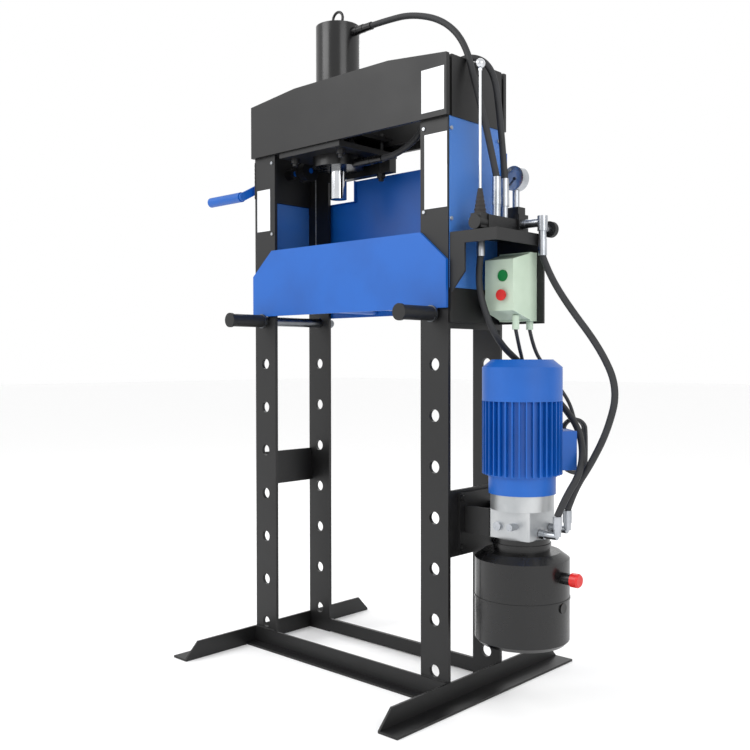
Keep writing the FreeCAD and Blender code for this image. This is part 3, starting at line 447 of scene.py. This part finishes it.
ropePiece = addPiece("rope_strands", mesh, "wire", smooth=True)
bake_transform(ropePiece)
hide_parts("winch_rope")
print("stage: boot and rope")

# Gauge dial: a pale disc with a ring of plain ticks, the last ones red. Every fifth tick is longer.
gauge = {"radius": 0.0285, "ticks": 27, "sweep": 270, "tickLong": 0.0045, "tickWide": 0.0007,
         "first": 225, "rim": 0.002, "redFrom": 21, "setBack": 0.0075, "disc": 0.0004, "lift": 0.0007}
gaugeAt = middle("gauge_case")
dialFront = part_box("gauge_case")[0].y + gauge["setBack"]
lathe("gauge_dial",
      [(0.0001, 0), (gauge["radius"], 0), (gauge["radius"], gauge["disc"]), (0.0001, gauge["disc"])],
      (gaugeAt.x, dialFront, gaugeAt.z), (0, -1, 0), "dial", "frame")
marks = bmesh.new()
redMarks = bmesh.new()
for index in range(gauge["ticks"]):
    angle = math.radians(gauge["first"] - gauge["sweep"] * index / (gauge["ticks"] - 1))
    long = gauge["tickLong"] * (1.5 if index % 5 == 0 else 1)
    rim = gauge["radius"] - gauge["rim"]
    across = Vector((math.cos(angle), 0, math.sin(angle)))
    side = Vector((-math.sin(angle), 0, math.cos(angle))) * gauge["tickWide"] / 2
    centre = Vector((gaugeAt.x, dialFront - gauge["lift"], gaugeAt.z))
    target = redMarks if index >= gauge["redFrom"] else marks
    corners = [centre + across * rim + side, centre + across * rim - side,
               centre + across * (rim - long) - side, centre + across * (rim - long) + side]
    target.faces.new([target.verts.new(corner) for corner in corners])
for name, cluster, material in (("dial_marks", marks, "ink"), ("dial_red_marks", redMarks, "red")):
    mesh = bpy.data.meshes.new(name)
    cluster.to_mesh(mesh)
    cluster.free()
    addPiece(name, mesh, material, "frame")

# Weld beads: a rippled ridge where the plates meet, at the feet and up the sides of the head.
welds = {"ripple": 0.004, "swell": 0.18, "footBead": 0.0022, "inset": 0.006, "headBead": 0.0018,
         "headFrom": 1.35, "headTo": 1.46}


def weld(name, start, end, size):
    start, end = Vector(start), Vector(end)
    run = end - start
    count = max(6, int(run.length / welds["ripple"]))
    along = run.normalized()
    side = along.orthogonal().normalized()
    other = along.cross(side)
    bead = bmesh.new()
    loops = []
    for index in range(count + 1):
        swell = size * (1 + welds["swell"] * math.sin(index * 2.1)) * (0.6 if index in (0, count) else 1)
        centre = start + run * index / count
        loops.append([bead.verts.new(centre + side * swell * math.cos(a) + other * swell * math.sin(a))
                      for a in (math.pi * k / 4 for k in range(8))])
    for lower, upper in zip(loops, loops[1:]):
        for k in range(8):
            bead.faces.new((lower[k], lower[(k + 1) % 8], upper[(k + 1) % 8], upper[k]))
    bead.faces.new(list(reversed(loops[0])))
    bead.faces.new(loops[-1])
    bmesh.ops.recalc_face_normals(bead, faces=bead.faces)
    mesh = bpy.data.meshes.new(name)
    bead.to_mesh(mesh)
    bead.free()
    return addPiece(name, mesh, "blackPaint", "frame", smooth=True)


for side in ("left", "right"):
    for face in ("front", "back"):
        low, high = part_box(f"upright_{face}_{side}")
        y = low.y if face == "front" else high.y
        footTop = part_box(f"foot_{side}")[1].z
        weld(f"weld_{face}_{side}", (low.x + welds["inset"], y, footTop),
             (high.x - welds["inset"], y, footTop), welds["footBead"])
        sideOn = high.x if side == "right" else low.x
        weld(f"weldHead_{face}_{side}", (sideOn, y, welds["headFrom"]),
             (sideOn, y, welds["headTo"]), welds["headBead"])
print("stage: dial, welds")

# Floor, light and camera. The lamps all face a point at half the height.
studio = {"halfFloor": 30, "floor": "#fbfbfb", "floorRoughness": 0.8, "air": "#ffffff",
          "airPower": 1.0, "aim": (0, 0, 0.95)}
half = studio["halfFloor"]
floor = bpy.data.meshes.new("floor")
floor.from_pydata([(-half, -half, 0), (half, -half, 0), (half, half, 0), (-half, half, 0)],
                  [], [(0, 1, 2, 3)])
floorPiece = bpy.data.objects.new("floor", floor)
scene.collection.objects.link(floorPiece)
floorMaterial, floorTree, floorShader = newMaterial("Pale studio floor")
floorShader.inputs["Base Color"].default_value = linear(studio["floor"])
floorShader.inputs["Roughness"].default_value = studio["floorRoughness"]
floor.materials.append(floorMaterial)

world = bpy.data.worlds.new("studio")
world.use_nodes = True
air = world.node_tree.nodes["Background"]
air.inputs["Color"].default_value = linear(studio["air"])
air.inputs["Strength"].default_value = studio["airPower"]
scene.world = world
lamps = {
    "key": {"at": (-1.6, -3.4, 3.4), "size": 2.6, "power": 85},
    "fill": {"at": (3.8, -1.2, 2.4), "size": 2.2, "power": 42},
    "rim": {"at": (-2.0, 3.0, 3.2), "size": 2.0, "power": 30},
}
for name, lamp in lamps.items():
    data = bpy.data.lights.new(name, "AREA")
    data.size = lamp["size"]
    data.energy = lamp["power"]
    light = bpy.data.objects.new(name, data)
    light.location = lamp["at"]
    facing = Vector(studio["aim"]) - light.location
    light.rotation_euler = facing.to_track_quat("-Z", "Y").to_euler()
    scene.collection.objects.link(light)

view = {"at": (1.7544, -1.9329, 0.8617), "yaw": 42.99, "pitch": 0.94, "roll": -0.09,
        "lens": 44.46, "sensor": 36}
cameraData = bpy.data.cameras.new("camera")
cameraData.lens = view["lens"]
cameraData.sensor_width = view["sensor"]
camera = bpy.data.objects.new("camera", cameraData)
turn = (Matrix.Rotation(math.radians(view["yaw"]), 4, "Z")
        @ Matrix.Rotation(math.radians(90 - view["pitch"]), 4, "X")
        @ Matrix.Rotation(math.radians(view["roll"]), 4, "Z"))
camera.matrix_world = Matrix.Translation(view["at"]) @ turn
scene.collection.objects.link(camera)
scene.camera = camera
scene.view_settings.view_transform = "Standard"
print("stage: floor, light and camera")
